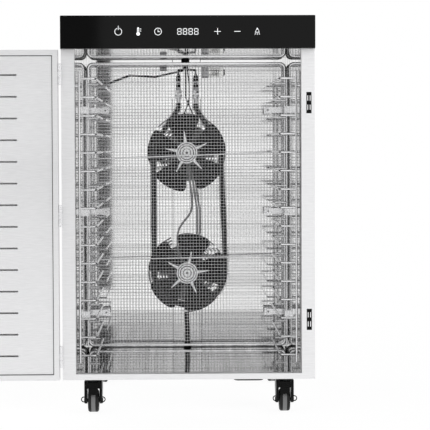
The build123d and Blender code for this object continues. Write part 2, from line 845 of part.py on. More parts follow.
def motor_leads():
    """Grey leads that run down the channel from the upper motor to the lower one."""
    y = cord_y
    top = fan_heights["upper"] - 22
    low = fan_heights["lower"] + 22
    leads = []
    for x in (0, motor_lead_pitch):
        leads.append(lead([(x + 9, y, top), (x + 14, y, top - 50), (x + 20, y, top - 90),
                           (x + 20, y, low + 60), (x + 12, y, low)], motor_lead_radius, 40))
    leads.append(lead([(2, y, top - 4), (9, y, top - 58), (10.5, y, 350), (8, y, 337), (2.5, y, 328),
                       (-7.6, y, 316), (-16, y, 303), (-19, y, 290), (-19, y, 262), (-9, y, low)],
                      motor_lead_radius, 14))
    save_leads(leads, "motor_leads")


# ---- Underside and back ----------------------------------------------------
def underside_tub():
    with BuildPart() as tub:
        block(tub_x, (front + tub_setback[0], front + tub_setback[1]),
              (ground_clearance - tub_depth, ground_clearance))
        fillet(tub.edges().filter_by(Axis.Z), 12)
        fillet(tub.faces().sort_by(Axis.Z)[0].edges(), tub_depth / 2)
    finish(tub, "underside_tub")


def power_inlet():
    """Three-pin appliance inlet low on the back."""
    across, up = inlet_flange
    wall = 2
    with BuildPart() as inlet:
        block((inlet_x[0] - across, inlet_x[1] + across), (back, back + wall),
              (inlet_z[0] - up, inlet_z[1] + up))
        fillet(inlet.edges().filter_by(Axis.Y), 4)
        block(inlet_x, (back - inlet_depth, back + wall), inlet_z)
        block((inlet_x[0] + wall, inlet_x[1] - wall), (back - inlet_depth + wall, back + wall),
              (inlet_z[0] + wall, inlet_z[1] - wall), Mode.SUBTRACT)
        for x, z in ((-6, -2), (0, 3), (6, -2)):
            pin_x = inlet_middle + x
            pin_z = inlet_level + z
            block((pin_x - 1, pin_x + 1), (back - inlet_depth + wall, back + 1), (pin_z - 2, pin_z + 2))
    finish(inlet, "power_inlet")


# ---- Door, modelled open ---------------------------------------------------
def opened(depth):
    """Y of a plane that is this far behind the inner face of the open door."""
    return door_inner + depth


def door_skin():
    """Folded outer pan: face, four edges and the border turned in round the front."""
    x = (door_far, door_near)
    z = (door_base, door_top)
    with BuildPart() as skin:
        block(x, (opened(0), opened(door_thickness)), z)
        fillet(skin.faces().sort_by(Axis.Y)[-1].edges(), 1.2)
        inner_x = (door_far + door_sheet, door_near - door_sheet)
        inner_z = (door_base + door_sheet, door_top - door_sheet)
        block(inner_x, (opened(door_sheet), opened(door_thickness - door_sheet)), inner_z, Mode.SUBTRACT)
        mouth_x = (door_far + door_border, door_near - door_border)
        mouth_z = (door_base + door_border, door_top - door_border)
        block(mouth_x, (opened(0), opened(door_sheet)), mouth_z, Mode.SUBTRACT)
    finish(skin, "door_skin")


def door_inner_panel():
    """Recessed inner sheet with its long vent slots."""
    x = (door_far + door_sheet, door_near - door_sheet)
    z = (door_base + door_sheet, door_top - door_sheet)
    with BuildPart() as panel:
        block(x, (opened(panel_recess), opened(panel_recess + door_sheet)), z)
        with BuildSketch(Plane.XZ.offset(-opened(panel_recess + door_sheet))):
            for slot in range(slot_count):
                with Locations((door_near - slot_start - slot_length / 2,
                                door_top - slot_top - slot * slot_pitch)):
                    SlotOverall(slot_length, slot_height)
        extrude(amount=door_sheet, mode=Mode.SUBTRACT)
    finish(panel, "door_inner_panel")


def door_strikes():
    """Steel plates behind the door's border, for the magnetic catches."""
    x = 2 * hinge_x - catch_x
    y = (opened(door_sheet), opened(panel_recess))
    with BuildPart() as strikes:
        for level in catch_levels:
            block((x - 3.5, x + 3.5), y, (level - catch_height / 2, level + catch_height / 2))
    finish(strikes, "door_strikes")


def door_handle():
    """Upright bar on two feet, on the outer face near the free edge."""
    x = door_far + handle_inset
    middle = (door_base + door_top) / 2
    face = opened(door_thickness)
    with BuildPart() as handle:
        with BuildLine():
            FilletPolyline((x, face, middle - handle_length / 2), (x, face + handle_reach - handle_radius,
                           middle - handle_length / 2), (x, face + handle_reach - handle_radius,
                           middle + handle_length / 2), (x, face, middle + handle_length / 2), radius=10)
        with BuildSketch(Plane(origin=(x, face, middle - handle_length / 2), z_dir=(0, 1, 0))):
            Circle(handle_radius)
        sweep()
    finish(handle, "door_handle")


# ---- Hinges ----------------------------------------------------------------
def knuckle_spans(level):
    """Heights of the three knuckles of one hinge, bottom to top."""
    third = hinge_height / 3
    low = level - hinge_height / 2
    half_gap = knuckle_gap / 2
    return [(low, low + third - half_gap), (low + third + half_gap, low + 2 * third - half_gap),
            (low + 2 * third + half_gap, low + hinge_height)]


def hinge_leaf(leaf_x, near_y, far_y, spans, level, bore):
    """Leaf plate with its knuckles, in the current part."""
    block(leaf_x, (near_y, far_y), (level - hinge_height / 2, level + hinge_height / 2))
    for low, high in spans:
        rod((hinge_x, hinge_y, low), (hinge_x, hinge_y, high), knuckle_radius)
        block(leaf_x, (hinge_y, near_y), (low, high))
        rod((hinge_x, hinge_y, low), (hinge_x, hinge_y, high), bore, Mode.SUBTRACT)


def hinge_frame_leaves():
    with BuildPart() as leaves:
        for level in hinge_levels:
            spans = knuckle_spans(level)
            hinge_leaf((-half_width - leaf_sheet, -half_width), hinge_y + 3.4, hinge_y + 3.4 + leaf_depth,
                       [spans[0], spans[2]], level, pin_radius)
    finish(leaves, "hinge_frame_leaves")


def hinge_door_leaves():
    with BuildPart() as leaves:
        for level in hinge_levels:
            spans = knuckle_spans(level)
            hinge_leaf((door_near, door_near + leaf_sheet), hinge_y + 3.4, opened(door_thickness) - 2,
                       [spans[1]], level, pin_radius + running_gap)
    finish(leaves, "hinge_door_leaves")


def hinge_pins():
    with BuildPart() as pins:
        for level in hinge_levels:
            low = level - hinge_height / 2
            rod((hinge_x, hinge_y, low), (hinge_x, hinge_y, low + hinge_height), pin_radius)
            for base, way in ((low, -1), (low + hinge_height, 1)):
                rod((hinge_x, hinge_y, base), (hinge_x, hinge_y, base + way), pin_radius + 0.8)
    finish(pins, "hinge_pins")


# ---- Magnetic catches ------------------------------------------------------
def magnetic_catches():
    with BuildPart() as catches:
        for level in catch_levels:
            block((catch_x - catch_width / 2, catch_x + catch_width / 2), (front, front + catch_depth),
                  (level - catch_height / 2, level + catch_height / 2))
    finish(catches, "magnetic_catches")


def catch_poles():
    """Four upright pole pieces on the face of each catch."""
    with BuildPart() as poles:
        for level in catch_levels:
            for x in (-1, 1):
                for z in (-1, 1):
                    middle_x = catch_x + x * pole_pitch[0] / 2
                    middle_z = level + z * pole_pitch[1] / 2
                    block((middle_x - pole_width / 2, middle_x + pole_width / 2), (front - 0.5, front),
                          (middle_z - pole_height / 2, middle_z + pole_height / 2))
    finish(poles, "catch_poles")


# ---- Casters ---------------------------------------------------------------
def caster_places():
    """Name and kingpin position of each caster."""
    return {
        f"{row}_{side}": (sign * caster_half_track, front + setback)
        for row, setback in (("front", caster_front_setback), ("rear", caster_rear_setback))
        for side, sign in (("left", -1), ("right", 1))
    }


def caster_plates():
    """Top plate and kingpin of each caster, fixed to the base."""
    half = caster_plate_size / 2
    low = ground_clearance - caster_plate_sheet
    with BuildPart() as plates:
        for x, y in caster_places().values():
            block((x - half, x + half), (y - half, y + half), (low, ground_clearance))
            rod((x, y, low - 11), (x, y, low), kingpin_radius)
    finish(plates, "caster_plates")


def caster_fork(name, braked):
    """Hooded fork with its axle, and lugs for the brake pedal on a front caster."""
    x, y = caster_places()[name]
    axle_y = y - caster_trail
    half = fork_width / 2
    cavity = half - fork_cheek
    top = ground_clearance - caster_plate_sheet - 1.5
    nose = y - nose_reach
    with BuildPart() as fork:
        with BuildSketch(Plane.YZ.offset(x - half)):
            with BuildLine():
                Polyline((nose, top), (y + 15, top), (y + 15, top - 14), (axle_y + 7, wheel_radius - 4),
                         (axle_y - 5, wheel_radius - 5), (nose, wheel_radius + 8), close=True)
            make_face()
            fillet(vertices(), 3)
        extrude(amount=fork_width)
        block((x - cavity, x + cavity), (nose - 5, y + 20), (0, 2 * wheel_radius + 3), Mode.SUBTRACT)
        rod((x, y, top - 12), (x, y, top), kingpin_radius + running_gap, Mode.SUBTRACT)
        for side in (-1, 1):
            with BuildSketch(Plane.XZ.offset(-(nose + 4))):
                with Locations((x + side * (half + 1), wheel_radius + 4)):
                    Circle(5)
                    Circle(3.4, mode=Mode.SUBTRACT)
            extrude(amount=2)
        if braked:
            for side in (-1, 1):
                lug = (x + side * (pedal_width / 2 + 0.4), x + side * (pedal_width / 2 + 3.4))
                block(tuple(sorted(lug)), (nose - 5.4, nose + 1),
                      (pedal_level(top) - 2.6, pedal_level(top) + 2.6))
            rod((x - half, nose - 2.8, pedal_level(top)), (x + half, nose - 2.8, pedal_level(top)),
                1.5 + running_gap, Mode.SUBTRACT)
    with BuildPart() as axle:
        rod((x - half, axle_y, wheel_radius), (x + half, axle_y, wheel_radius), caster_axle_radius)
        for side in (-1, 1):
            rod((x + side * half, axle_y, wheel_radius), (x + side * (half + 1.2), axle_y, wheel_radius), 4.2)
    with BuildPart() as bored:
        add(fork.part)
        rod((x - half, axle_y, wheel_radius), (x + half, axle_y, wheel_radius), caster_axle_radius,
            Mode.SUBTRACT)
    whole = Compound(children=[bored.part.solid(), axle.part.solid()])
    whole.label = f"{name}_caster_fork"
    export_step(whole, f"parts/{name}_caster_fork.step")


def pedal_level(top):
    return top - 3.2


def caster_wheel(name):
    x, y = caster_places()[name]
    centre = (x, y - caster_trail, wheel_radius)
    half = wheel_width / 2
    with BuildPart() as wheel:
        rod((x - half, *centre[1:]), (x + half, *centre[1:]), wheel_radius)
        fillet(wheel.edges().filter_by(GeomType.CIRCLE), 4)
        for side in (-1, 1):
            rod((x + side * (half - 1.5), *centre[1:]), (x + side * half, *centre[1:]), 12, Mode.SUBTRACT)
            rod((x + side * (half - 1.5), *centre[1:]), (x + side * (half + 0.6), *centre[1:]), 5.5)
        rod((x - half - 1, *centre[1:]), (x + half + 1, *centre[1:]), caster_axle_radius + running_gap,
            Mode.SUBTRACT)
    finish(wheel, f"{name}_caster_wheel")


def brake_pedal(name):
    """Ribbed pedal on the nose of a front caster, hung on its own stub pins."""
    x, y = caster_places()[name]
    top = ground_clearance - caster_plate_sheet - 1.5
    level = pedal_level(top)
    pin_y = y - nose_reach - 2.8
    half = pedal_width / 2
    with BuildPart() as pedal:
        block((x - half, x + half), (pin_y - pedal_thickness / 2, pin_y + pedal_thickness / 2),
              (level - pedal_height, level))
        rod((x - half, pin_y, level), (x + half, pin_y, level), 2.2)
        rod((x - half - 3, pin_y, level), (x + half + 3, pin_y, level), 1.5)
        for rib in range(3):
            z = level - 4.5 - rib * 3.4
            block((x - half + 1.5, x + half - 1.5), (pin_y - pedal_thickness / 2 - 0.8, pin_y),
                  (z - 0.7, z + 0.7))
        block((x - half, x + half), (pin_y - pedal_thickness / 2 - 1.2, pin_y),
              (level - pedal_height, level - pedal_height + 3.4))
    finish(pedal, f"{name}_brake_pedal")


# ---- Build -----------------------------------------------------------------
os.makedirs("parts", exist_ok=True)
side_panel(-1, "left_side_panel")
side_panel(1, "right_side_panel")
top_cover()
base_plate()
rear_cover()
front_stiles()
front_sill()
chamber_side_walls()
chamber_sheet(sill_top - liner, chamber_half_width, front + stile_return, 0, "chamber_floor")
chamber_sheet(ceiling, half_width - sheet, front, gland_x, "chamber_ceiling")
chamber_rear_wall()
control_housing()
control_glass()
panel_graphics()
circuit_boards()
rack(-1, "rack_left")
rack(1, "rack_right")
guard_frame()
guard_wires()
rack_brackets()
guard_clamps()
chamber_screws()
fan_motors()
for fan in fan_heights:
    fan_shaft(fan)
    fan_blades(fan)
    fan_spider(fan)
heater_tube()
heater_terminals()
mounting_channel()
lamp_holder()
lamp_bulb()
limit_thermostat()
cable_glands()
supply_leads()
motor_leads()
underside_tub()
power_inlet()
door_skin()
door_inner_panel()
door_strikes()
door_handle()
hinge_frame_leaves()
hinge_door_leaves()
hinge_pins()
magnetic_catches()
catch_poles()
caster_plates()
for caster in caster_places():
    caster_fork(caster, caster.startswith("front"))
    caster_wheel(caster)
    if caster.startswith("front"):
        brake_pedal(caster)
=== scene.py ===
"""Looks of a sixteen-tier cabinet food dehydrator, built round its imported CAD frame.

Everything is in metres, +Z up, the cabinet's front towards -Y.
"""
import json
import math

import bpy
from mathutils import Matrix, Vector


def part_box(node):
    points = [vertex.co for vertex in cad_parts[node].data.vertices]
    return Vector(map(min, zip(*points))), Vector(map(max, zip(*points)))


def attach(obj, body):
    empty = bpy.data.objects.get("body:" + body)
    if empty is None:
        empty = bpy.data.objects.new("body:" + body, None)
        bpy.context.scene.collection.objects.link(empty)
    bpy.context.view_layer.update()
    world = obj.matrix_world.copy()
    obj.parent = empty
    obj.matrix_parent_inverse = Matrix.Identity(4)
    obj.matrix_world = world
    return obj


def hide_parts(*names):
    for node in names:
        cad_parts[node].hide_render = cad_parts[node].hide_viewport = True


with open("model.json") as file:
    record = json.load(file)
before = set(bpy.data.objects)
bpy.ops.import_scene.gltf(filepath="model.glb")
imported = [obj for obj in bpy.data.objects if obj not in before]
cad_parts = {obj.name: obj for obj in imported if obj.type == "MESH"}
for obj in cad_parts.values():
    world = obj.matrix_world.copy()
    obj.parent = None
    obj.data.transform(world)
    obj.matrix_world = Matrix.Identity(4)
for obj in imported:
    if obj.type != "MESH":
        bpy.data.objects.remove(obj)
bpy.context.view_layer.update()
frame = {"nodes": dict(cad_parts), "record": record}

MM = 0.001
ROOT = "cabinet"


# ---- Sizes read from the frame ---------------------------------------------
def low(node, axis):
    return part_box(node)[0][axis]


def high(node, axis):
    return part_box(node)[1][axis]


def middle(node, axis):
    return (low(node, axis) + high(node, axis)) / 2


X, Y, Z = 0, 1, 2
front_y = low("front_stiles", Y)
half_width = high("top_cover", X)
rear_wall_y = low("chamber_rear_wall", Y)


# ---- Camera and studio -----------------------------------------------------
CAMERA_DISTANCE = 3.300     # lens to the cabinet's front plane
CAMERA_SIDE = -0.0219
CAMERA_HEIGHT = 0.465
CAMERA_LENS = 159.0
CAMERA_YAW = 1.18           # degrees to the right
CAMERA_PITCH = 2.05         # degrees down
CAMERA_ROLL = 0.21          # degrees clockwise


def place_camera():
    """Long lens at the cabinet's front, a little left of the middle."""
    data = bpy.data.cameras.new("camera")
    data.lens = CAMERA_LENS
    data.sensor_width = 36
    data.clip_end = 50
    camera = bpy.data.objects.new("camera", data)
    bpy.context.scene.collection.objects.link(camera)
    camera.location = (CAMERA_SIDE, front_y - CAMERA_DISTANCE, CAMERA_HEIGHT)
    yaw = Matrix.Rotation(math.radians(-CAMERA_YAW), 4, "Z")
    pitch = Matrix.Rotation(math.radians(90 - CAMERA_PITCH), 4, "X")
    roll = Matrix.Rotation(math.radians(-CAMERA_ROLL), 4, "Z")
    camera.rotation_euler = (yaw @ pitch @ roll).to_euler()
    bpy.context.scene.camera = camera


def node(tree, kind, **values):
    """A shader node with its properties and unlinked inputs set."""
    made = tree.nodes.new(kind)
    for key, value in values.items():
        if key in made.inputs:
            made.inputs[key].default_value = value
        else:
            setattr(made, key, value)
    return made


SKY_BREAK = (0.3, 0.8)      # how steep a direction is where the sky starts and stops dimming
SKY_LEVELS = (1.0, 0.25)    # at the horizon and overhead


def light_world():
    """White all round the horizon, greyer towards the top."""
    world = bpy.data.worlds.new("studio")
    world.use_nodes = True
    tree = world.node_tree
    coordinates = node(tree, "ShaderNodeTexCoord")
    split = node(tree, "ShaderNodeSeparateXYZ")
    facing = node(tree, "ShaderNodeMath", operation="ABSOLUTE")
    level = node(tree, "ShaderNodeMapRange")
    for name, number in zip(("From Min", "From Max", "To Min", "To Max"), SKY_BREAK + SKY_LEVELS):
        level.inputs[name].default_value = number
    tree.links.new(coordinates.outputs["Generated"], split.inputs["Vector"])
    tree.links.new(split.outputs["Z"], facing.inputs[0])
    tree.links.new(facing.outputs[0], level.inputs["Value"])
    tree.links.new(level.outputs["Result"], tree.nodes["Background"].inputs["Color"])
    bpy.context.scene.world = world
    bpy.context.scene.view_settings.view_transform = "Standard"


def area_light(name, place, aim, size, power):
    """A soft rectangular light that points at a place."""
    data = bpy.data.lights.new(name, "AREA")
    data.shape = "RECTANGLE"
    data.size, data.size_y = size
    data.energy = power
    lamp = bpy.data.objects.new(name, data)
    lamp.location = place
    lamp.rotation_euler = (Vector(aim) - Vector(place)).to_track_quat("-Z", "Y").to_euler()
    bpy.context.scene.collection.objects.link(lamp)


def plane(name, corners, material):
    """One face for the studio."""
    mesh = bpy.data.meshes.new(name)
    mesh.from_pydata(corners, [], [(0, 1, 2, 3)])
    made = bpy.data.objects.new(name, mesh)
    made.data.materials.append(material)
    bpy.context.scene.collection.objects.link(made)
    return made


def stage_material(name, grey, glow=0.0):
    """Matt grey for the studio, with an even glow."""
    material = bpy.data.materials.new(name)
    material.use_nodes = True
    shader = material.node_tree.nodes["Principled BSDF"]
    shader.inputs["Base Color"].default_value = (grey, grey, grey, 1)
    shader.inputs["Roughness"].default_value = 0.9
    shader.inputs["Specular IOR Level"].default_value = 0
    shader.inputs["Emission Color"].default_value = (1, 1, 1, 1)
    shader.inputs["Emission Strength"].default_value = glow
    return material


FLOOR_REACH = 8
FLAG_DISTANCE = 2.0         # dark card to the cabinet's front plane
FLAG_SPAN = (-0.62, -0.232)
FLAG_HEIGHT = 1.4
LIGHT_AIM = (0, 0, 0.4)


def build_studio():
    """Pale floor, a dark card that only shows in reflections, the sky and two soft lights."""
    ends = (-FLOOR_REACH, FLOOR_REACH)
    corners = [(ends[0], ends[0], 0), (ends[1], ends[0], 0), (ends[1], ends[1], 0), (ends[0], ends[1], 0)]
    floor = plane("floor", corners, stage_material("pale_floor", 0.16, 0.92))
    left, right = FLAG_SPAN
    flag_y = front_y - FLAG_DISTANCE
    corners = [(left, flag_y, 0), (right, flag_y, 0),
               (right, flag_y, FLAG_HEIGHT), (left, flag_y, FLAG_HEIGHT)]
    flag = plane("dark_flag", corners, stage_material("flag", 0.02))
    flag.visible_camera = False
    flag.visible_shadow = False
    flag.visible_diffuse = False
    light_world()
    area_light("key", (-1.2, front_y - 2.6, 2.4), LIGHT_AIM, size=(1.6, 1.6), power=5)
    area_light("fill", (1.6, front_y - 2.0, 1.2), LIGHT_AIM, size=(1.2, 1.6), power=2)


# ---- Materials -------------------------------------------------------------
def principled(name, colour, metallic=0.0, roughness=0.5):
    """A new material with its node tree and shader."""
    material = bpy.data.materials.new(name)
    material.use_nodes = True
    tree = material.node_tree
    shader = tree.nodes["Principled BSDF"]
    shader.inputs["Base Color"].default_value = (*colour, 1)
    shader.inputs["Metallic"].default_value = metallic
    shader.inputs["Roughness"].default_value = roughness
    return material, tree, shader


def stretched_noise(tree, scale, detail=3.0):
    """Noise over object coordinates, stretched by a different scale on each axis."""
    coordinates = node(tree, "ShaderNodeTexCoord")
    mapping = node(tree, "ShaderNodeMapping")
    mapping.inputs["Scale"].default_value = scale
    noise = node(tree, "ShaderNodeTexNoise", Scale=1.0, Detail=detail)
    tree.links.new(coordinates.outputs["Object"], mapping.inputs["Vector"])
    tree.links.new(mapping.outputs["Vector"], noise.inputs["Vector"])
    return noise.outputs["Fac"]


def spread(tree, value, low_value, high_value, start=0.3, stop=0.7):
    """Map a noise value to a range."""
    ramp = node(tree, "ShaderNodeMapRange")
    limits = (("From Min", start), ("From Max", stop), ("To Min", low_value), ("To Max", high_value))
    for name, number in limits:
        ramp.inputs[name].default_value = number
    tree.links.new(value, ramp.inputs["Value"])
    return ramp.outputs["Result"]


def grey_mix(tree, factor, dark, light):
    """A grey between two tones, a trace bluer than neutral."""
    mix = node(tree, "ShaderNodeMix", data_type="RGBA")
    mix.inputs[6].default_value = (dark, dark, dark * 1.01, 1)
    mix.inputs[7].default_value = (light, light, light * 1.01, 1)
    tree.links.new(factor, mix.inputs[0])
    return mix.outputs[2]


def bump(tree, shader, height, distance):
    """Relief of this height, in metres."""
    made = node(tree, "ShaderNodeBump", Strength=1.0, Distance=distance)
    tree.links.new(height, made.inputs["Height"])
    tree.links.new(made.outputs["Normal"], shader.inputs["Normal"])


BRUSH_SCALE = (60, 60, 1500)
BRUSH_HEIGHT = 0.02 * MM


def steel(name, dark, light, rough_low, rough_high):
    """Brushed sheet: long streaks in its colour and surface, and smudges in its roughness."""
    material, tree, shader = principled(name, (0.8, 0.8, 0.81), 1.0, 0.25)
    streaks = stretched_noise(tree, BRUSH_SCALE)
    smudges = stretched_noise(tree, (5, 5, 5), 2.0)
    tree.links.new(grey_mix(tree, spread(tree, streaks, 0, 1), dark, light), shader.inputs["Base Color"])
    tree.links.new(spread(tree, smudges, rough_low, rough_high), shader.inputs["Roughness"])
    bump(tree, shader, streaks, BRUSH_HEIGHT)
    return material


def brushed_steel():
    """Sheet of the outer shell."""
    return steel("brushed_steel", 0.42, 0.56, 0.28, 0.4)


def satin_lit_steel():
    """Paler sheet of the front frame and the door, which scatters more light; its paler tone is painted light,
    a lit copy of the shell's steel.
    """
    material = steel("satin_lit_steel", 0.84, 0.93, 0.3, 0.4)
    material.node_tree.nodes["Principled BSDF"].inputs["Metallic"].default_value = 0.45
    return material


def compute(tree, operation, first, second=0.0):
    """A maths node whose operands are sockets or numbers."""
    made = node(tree, "ShaderNodeMath", operation=operation)
    for place, value in enumerate((first, second)):
        if isinstance(value, (int, float)):
            made.inputs[place].default_value = value
        else:
            tree.links.new(value, made.inputs[place])
    return made.outputs[0]


def choose(tree, mask, inside, outside):
    """One value where the mask is 1 and another where it is 0."""
    mix = node(tree, "ShaderNodeMix", data_type="FLOAT")
    tree.links.new(mask, mix.inputs[0])
    for place, value in ((2, outside), (3, inside)):
        if isinstance(value, (int, float)):
            mix.inputs[place].default_value = value
        else:
            tree.links.new(value, mix.inputs[place])
    return mix.outputs[0]


FACE_DEPTH = 0.3 * MM       # a face's own shading reaches this far
CHANNEL_FOOT = 11 * MM      # edge of the channel's foot to the fold beside it
FOLD_SHADE_HALF_WIDTH = 1.1 * MM     # half the width of the painted shade line along that fold
CHANNEL_DEPTH = 2.3 * MM
CHANNEL_REACH = 3 * MM
HUB_SHADE = 56 * MM         # radius of the painted shade disc behind each fan
FLOOR_SHADE_HEIGHTS = (0.060, 0.078)   # chamber floor to where the painted shade at the foot of the walls ends
FOLD_SHADE_TONE = 0.12
HUB_SHADE_TONE = 0.05
HIDDEN_SHADE_TONE = 0.03          # painted shade on the steel behind the rear wall


def chamber_steel():
    """Bright sheet of the chamber: level lines at the back, painted reflections as upright bands at the sides,
    and painted shade at the foot of the walls, along the channel folds, round each fan and behind the rear
    wall.
    """
    material, tree, shader = principled("chamber_steel", (0.8, 0.8, 0.81), 1.0, 0.12)
    coordinates = node(tree, "ShaderNodeTexCoord")
    split = node(tree, "ShaderNodeSeparateXYZ")
    tree.links.new(coordinates.outputs["Object"], split.inputs["Vector"])
    x, y, z = split.outputs
    x = compute(tree, "ABSOLUTE", x)
    lines = spread(tree, stretched_noise(tree, (1.2, 1.2, 330), 2.0), 0.72, 1.0, 0.34, 0.5)
    broad = spread(tree, stretched_noise(tree, (0.8, 0.8, 30), 2.0), 0.9, 1.0, 0.4, 0.6)
    tone = compute(tree, "MULTIPLY", lines, broad)
    # Painted shade: the walls darken towards the chamber floor.
    start, stop = (low("chamber_floor", Z) + height for height in FLOOR_SHADE_HEIGHTS)
    floor_shade = spread(tree, z, 0.62, 1.0, start, stop)
    tone = compute(tree, "MULTIPLY", tone, floor_shade)
    # Painted shade: a dark line along each fold beside the channel, on the face of the rear wall.
    channel_half = (high("mounting_channel", X) - low("mounting_channel", X)) / 2 - CHANNEL_FOOT
    edge = compute(tree, "COMPARE", x, channel_half)
    edge.node.inputs[2].default_value = FOLD_SHADE_HALF_WIDTH
    edge = compute(tree, "MULTIPLY", edge, compute(tree, "GREATER_THAN", y, rear_wall_y - CHANNEL_DEPTH))
    tone = choose(tree, edge, FOLD_SHADE_TONE, tone)
    # Painted reflection: dark and light upright bands on the side walls.
    bands = spread(tree, stretched_noise(tree, (0.5, 26, 0.35), 3.0), 0.06, 0.9, 0.4, 0.6)
    tone = choose(tree, compute(tree, "GREATER_THAN", x, -low("front_sill", X) - FACE_DEPTH), bands, tone)
    streaks = spread(tree, stretched_noise(tree, (70, 1.0, 1.0), 3.0), 0.6, 1.0, 0.35, 0.65)
    tone = choose(tree, compute(tree, "LESS_THAN", z, high("chamber_floor", Z) + FACE_DEPTH), streaks, tone)
    # Painted shade: a dark disc on the rear wall and channel round each fan's axis.
    for fan in ("upper_fan_shaft", "lower_fan_shaft"):
        rise = compute(tree, "SUBTRACT", z, middle(fan, Z))
        squares = compute(tree, "ADD", compute(tree, "POWER", x, 2.0), compute(tree, "MULTIPLY", rise, rise))
        inside = compute(tree, "LESS_THAN", compute(tree, "SQRT", squares), HUB_SHADE)
        at_back = compute(tree, "GREATER_THAN", y, rear_wall_y - CHANNEL_REACH)
        tone = choose(tree, compute(tree, "MULTIPLY", inside, at_back), HUB_SHADE_TONE, tone)
    # Painted shade: the steel behind the rear wall is dark.
    dark = compute(tree, "GREATER_THAN", y, high("chamber_rear_wall", Y) - FACE_DEPTH)
    tone = choose(tree, dark, HIDDEN_SHADE_TONE, tone)
    colour = node(tree, "ShaderNodeCombineColor")
    for socket in colour.inputs[:3]:
        tree.links.new(tone, socket)
    tree.links.new(colour.outputs[0], shader.inputs["Base Color"])
    tree.links.new(spread(tree, stretched_noise(tree, (5, 5, 5), 2.0), 0.03, 0.05), shader.inputs["Roughness"])
    return material


def bright_wire():
    """Polished wire with fine marks in its gloss."""
    material, tree, shader = principled("bright_wire", (0.88, 0.88, 0.89), 1.0, 0.2)
    marks = stretched_noise(tree, (400, 400, 400))
    tree.links.new(spread(tree, marks, 0.12, 0.3), shader.inputs["Roughness"])
    return material


def bright_fitting():
    """Plated screws, pins and pressings."""
    material, tree, shader = principled("bright_fitting", (0.88, 0.88, 0.89), 1.0, 0.3)
    marks = stretched_noise(tree, (300, 300, 300))
    tree.links.new(spread(tree, marks, 0.2, 0.4), shader.inputs["Roughness"])
    return material


def moulded(name, grey, rough_low, rough_high, grain=900, height=0.00004):
    """Moulded plastic or rubber with a fine grain."""
    material, tree, shader = principled(name, (grey, grey, grey * 1.03), 0.0, rough_low)
    if grey < 0.05:
        shader.inputs["Specular IOR Level"].default_value = 0.1
    marks = stretched_noise(tree, (grain, grain, grain))
    tree.links.new(spread(tree, marks, rough_low, rough_high), shader.inputs["Roughness"])
    bump(tree, shader, marks, height)
    return material


def black_glass():
    """Control glass with faint smudges."""
    material, tree, shader = principled("black_glass", (0.006, 0.006, 0.006), 0.0, 0.03)
    smudges = stretched_noise(tree, (12, 12, 12))
    tree.links.new(spread(tree, smudges, 0.03, 0.08), shader.inputs["Roughness"])
    shader.inputs["Specular IOR Level"].default_value = 0.12
    return material


def glowing(name, colour, strength):
    """Touch marks and digits that are lit a little."""
    material, _, shader = principled(name, colour, 0.0, 0.5)
    shader.inputs["Emission Color"].default_value = (*colour, 1)
    shader.inputs["Emission Strength"].default_value = strength
    return material


def heater_black():
    """Matt, uneven black of the finned tube."""
    material, tree, shader = principled("black_finned_steel", (0.01, 0.01, 0.01), 0.0, 0.5)
    shader.inputs["Specular IOR Level"].default_value = 0.2
    marks = stretched_noise(tree, (250, 250, 250))
    tree.links.new(spread(tree, marks, 0.35, 0.6), shader.inputs["Roughness"])
    tree.links.new(grey_mix(tree, spread(tree, marks, 0, 1), 0.003, 0.012), shader.inputs["Base Color"])
    return material


def clear_glass():
    """Lamp tube."""
    material, tree, shader = principled("lamp_glass", (0.97, 0.97, 0.96), 0.0, 0.05)
    shader.inputs["Transmission Weight"].default_value = 0.95
    shader.inputs["IOR"].default_value = 1.12
    marks = stretched_noise(tree, (90, 90, 90))
    tree.links.new(spread(tree, marks, 0.02, 0.08), shader.inputs["Roughness"])
    return material


def circuit_green():
    """Lacquered circuit board."""
    material, tree, shader = principled("green_board", (0.03, 0.2, 0.08), 0.0, 0.35)
    marks = stretched_noise(tree, (700, 700, 700))
    tree.links.new(spread(tree, marks, 0.3, 0.5), shader.inputs["Roughness"])
    return material


def caster_tread():
    """Dark wheel with a paler band round the middle of its tread."""
    material = moulded("grey_tread", 0.03, 0.3, 0.5, 700)
    tree = material.node_tree
    shader = tree.nodes["Principled BSDF"]
    coordinates = node(tree, "ShaderNodeTexCoord")
    split = node(tree, "ShaderNodeSeparateXYZ")
    tree.links.new(coordinates.outputs["Object"], split.inputs["Vector"])
    track = (high("front_right_caster_wheel", X) + low("front_right_caster_wheel", X)) / 2
    band = compute(tree, "COMPARE", compute(tree, "ABSOLUTE", split.outputs[0]), track)
    band.node.inputs[2].default_value = 3.6 * MM
    tree.links.new(grey_mix(tree, band, 0.02, 0.2), shader.inputs["Base Color"])
    return material


def build_materials():
    """One material for each slot of the record, and the satin finish whose paler tone is painted light."""
    return {
        "brushed_steel": brushed_steel(),
        "satin_lit_steel": satin_lit_steel(),
        "chamber_steel": chamber_steel(),
        "bright_wire": bright_wire(),
        "bright_fitting": bright_fitting(),
        "black_plastic": moulded("black_plastic", 0.004, 0.22, 0.4),
        "black_glass": black_glass(),
        "white_graphics": glowing("white_graphics", (0.9, 0.92, 0.93), 0.5),
        "green_board": circuit_green(),
        "cast_aluminium": moulded("cast_aluminium", 0.5, 0.4, 0.6, 500, 0.0001),
        "black_finned_steel": heater_black(),
        "ceramic": moulded("ceramic", 0.75, 0.3, 0.5, 500),
        "lamp_glass": clear_glass(),
        "phenolic": moulded("phenolic", 0.12, 0.5, 0.7, 800),
        "black_rubber": moulded("black_rubber", 0.005, 0.35, 0.5, 800),
        "grey_rubber": moulded("grey_rubber", 0.3, 0.4, 0.55, 800),
        "grey_tread": caster_tread(),
    }


# Front faces that get the paler satin steel, whose paler tone is painted light.
SATIN_LIT_NODES = ("front_stiles", "front_sill", "door_inner_panel", "door_skin")


